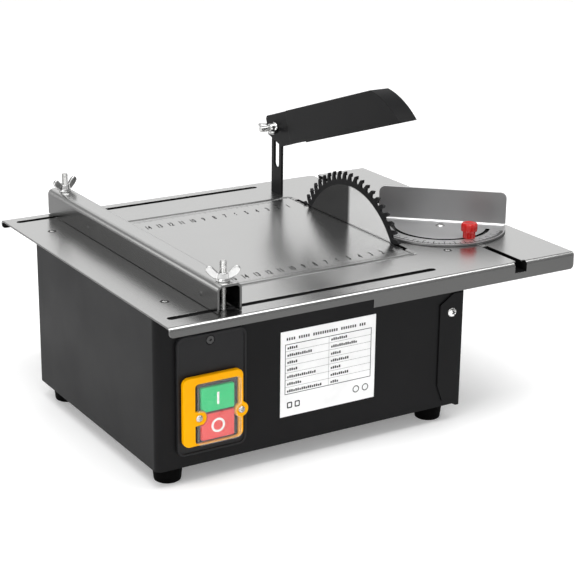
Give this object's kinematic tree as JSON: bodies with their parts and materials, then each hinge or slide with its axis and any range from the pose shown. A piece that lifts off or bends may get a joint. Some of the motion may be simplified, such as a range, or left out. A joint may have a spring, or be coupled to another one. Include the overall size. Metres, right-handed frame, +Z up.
{
  "type": "benchtop table saw",
  "caption": "Benchtop table saw with a box body, flat metal table, sliding rip fence, turning miter gauge, tilting blade guard and belt-driven blade.",
  "frame": {"origin": "on the floor, under the middle of the table", "axes": "+X to the operator's right, +Y away from the operator, +Z up"},
  "size_m": [0.348, 0.294, 0.2453],
  "materials": {
    "stainless": "satin brushed sheet",
    "black_paint": "fine-textured black powder coat",
    "zinc_screw": "zinc plated",
    "bright_nut": "bright plated",
    "dark_steel": "dark rolled steel",
    "saw_steel": "blackened rim, ground centre",
    "rubber": "matt",
    "dark_plastic": "fine grain",
    "yellow_plastic": "smooth",
    "green_plastic": "smooth",
    "red_plastic": "smooth",
    "clear_plastic": "clear, flexible",
    "label": "printed film",
    "spring_steel": "bright",
    "brass": "bright",
    "cast_alloy": "as cast",
    "ground_steel": "ground",
    "copper": "enamelled wire and laminations",
    "magnet": "sintered",
    "black_screw": "blackened",
    "motor_paint": "semi-gloss"
  },
  "bodies": {
    "saw_body": {"table_top": "stainless", "insert_plate": "stainless", "insert_frame": "stainless", "table_screws": "zinc_screw", "table_nuts": "zinc_screw", "body_shell": "black_paint", "shell_tabs": "black_paint", "side_panel": "black_paint", "panel_screws": "zinc_screw", "bottom_plate": "black_paint", "feet": "rubber", "foot_screws": "zinc_screw", "cable_gland": "rubber", "rating_label": "label", "switch_plate": "dark_plastic", "switch_plate_screw": "black_screw", "switch_flange": "yellow_plastic", "switch_flange_screws": "zinc_screw", "switch_housing": "dark_plastic", "switch_cover": "clear_plastic", "button_springs": "spring_steel", "switch_terminals": "brass", "guard_post": "black_paint", "guard_post_nuts": "zinc_screw", "arbor_housing": "cast_alloy", "arbor_bearings": "ground_steel", "drive_plate": "zinc_screw", "drive_belt": "rubber", "motor_can": "motor_paint", "field_magnets": "magnet", "motor_brushes": "dark_plastic", "motor_front_bell": "cast_alloy", "motor_rear_bell": "cast_alloy", "motor_bearings": "ground_steel", "motor_bracket": "zinc_screw", "bracket_screws": "zinc_screw"},
    "start_button": {"start_button": "green_plastic"},
    "stop_button": {"stop_button": "red_plastic"},
    "fence": {"fence_channel": "stainless", "fence_studs": "zinc_screw", "fence_washers": "zinc_screw"},
    "fence_nut_front": {"fence_nut_front": "bright_nut"},
    "fence_nut_rear": {"fence_nut_rear": "bright_nut"},
    "miter_slider": {"miter_bar": "zinc_screw", "miter_pivot_screw": "zinc_screw", "miter_lock_stud": "zinc_screw"},
    "miter_plate": {"miter_plate": "dark_steel"},
    "miter_knob": {"miter_knob": "red_plastic"},
    "guard_slider": {"guard_bolt": "zinc_screw"},
    "guard_hood": {"guard_hood": "black_paint"},
    "guard_wing_nut": {"guard_wing_nut": "bright_nut"},
    "blade": {"saw_blade": "saw_steel", "arbor_shaft": "ground_steel", "inner_flange": "ground_steel", "outer_flange": "ground_steel", "arbor_nut": "zinc_screw", "arbor_pulley": "cast_alloy"},
    "motor_rotor": {"motor_pulley": "cast_alloy", "motor_shaft": "ground_steel", "armature": "copper"}
  },
  "joints": [
    {"name": "fence_slide", "type": "slide", "parent": "saw_body", "child": "fence", "axis": [1, 0, 0], "range_m": [-0.036, 0.17]},
    {"name": "fence_nut_front_turn", "type": "hinge", "parent": "fence", "child": "fence_nut_front", "pos_m": [-0.1233, -0.1286, 0.149], "axis": [0, 0, 1], "continuous": true},
    {"name": "fence_nut_rear_turn", "type": "hinge", "parent": "fence", "child": "fence_nut_rear", "pos_m": [-0.1233, 0.134, 0.149], "axis": [0, 0, 1], "continuous": true},
    {"name": "miter_slide", "type": "slide", "parent": "saw_body", "child": "miter_slider", "axis": [0, 1, 0], "range_m": [-0.04, 0.125]},
    {"name": "miter_turn", "type": "hinge", "parent": "miter_slider", "child": "miter_plate", "pos_m": [0.1225, -0.0437, 0.1293], "axis": [0, 0, 1], "range_deg": [-18, 102]},
    {"name": "miter_knob_turn", "type": "hinge", "parent": "miter_slider", "child": "miter_knob", "pos_m": [0.1225, -0.0819, 0.131], "axis": [0, 0, 1], "continuous": true},
    {"name": "guard_height", "type": "slide", "parent": "saw_body", "child": "guard_slider", "axis": [0, 0, 1], "range_m": [-0.01, 0.002]},
    {"name": "guard_tilt", "type": "hinge", "parent": "guard_slider", "child": "guard_hood", "pos_m": [0.062, 0.1114, 0.1859], "axis": [-1, 0, 0], "range_deg": [-18, 20]},
    {"name": "guard_nut_turn", "type": "hinge", "parent": "guard_slider", "child": "guard_wing_nut", "pos_m": [0.056, 0.1114, 0.1859], "axis": [-1, 0, 0], "continuous": true},
    {"name": "motor_spin", "type": "hinge", "parent": "saw_body", "child": "motor_rotor", "pos_m": [-0.054, -0.061, 0.057], "axis": [1, 0, 0], "continuous": true},
    {"name": "blade_spin", "type": "hinge", "parent": "saw_body", "child": "blade", "pos_m": [0.0651, -0.001, 0.0914], "axis": [1, 0, 0], "continuous": true},
    {"name": "start_press", "type": "slide", "parent": "saw_body", "child": "start_button", "axis": [0, 1, 0], "range_m": [0, 0.003], "stiffness_N_per_m": 600, "springref_m": -0.003},
    {"name": "stop_press", "type": "slide", "parent": "saw_body", "child": "stop_button", "axis": [0, 1, 0], "range_m": [0, 0.003], "stiffness_N_per_m": 600, "springref_m": -0.003}
  ],
  "couplings": [
    {"joint": "blade_spin", "follows": "motor_spin", "ratio": 0.66667}
  ]
}
